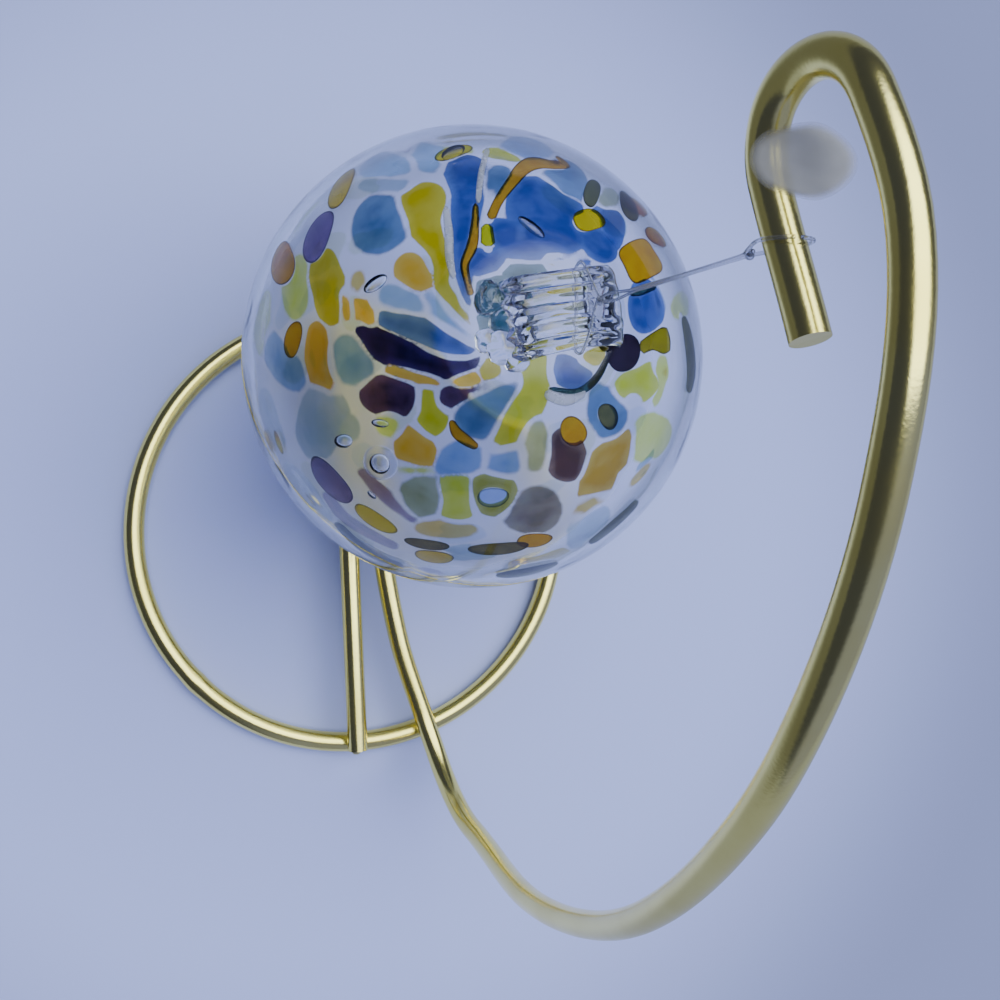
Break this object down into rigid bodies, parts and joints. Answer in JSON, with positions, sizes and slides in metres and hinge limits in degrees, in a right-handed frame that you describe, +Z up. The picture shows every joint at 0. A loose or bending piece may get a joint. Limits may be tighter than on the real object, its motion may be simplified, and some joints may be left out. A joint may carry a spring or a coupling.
{
  "type": "blown-glass ball ornament on wire stand",
  "caption": "Blown clear glass ball with fused coloured patches and a ribbed glass hanging loop, hung by a thin clear line from the hook of a brass-plated C-shaped wire stand with a ring foot.",
  "frame": {"origin": "middle of the underside of the whole piece, on the surface that the ring foot stands on", "axes": "+Z up; +Y from the back of the C towards the side where the ball hangs, along the low run of the arm; +X to the right when looking along +Y"},
  "size_m": [0.0912, 0.1255, 0.1713],
  "materials": {
    "brass_plating": "bright pale brass plating over steel wire, lightly brushed along its length",
    "clear_glass": "fire-polished blown clear glass",
    "coloured_glass": "fused transparent colour patches: cobalt, steel blue, amber, olive, green and plum",
    "nylon_line": "clear nylon monofilament",
    "clear_film": "milky translucent film"
  },
  "bodies": {
    "root": {"base_ring": "brass_plating", "cross_bar": "brass_plating", "arm_wire": "brass_plating", "glass_ball": "clear_glass", "hang_line": "nylon_line", "line_tab": "clear_film"}
  },
  "joints": []
}
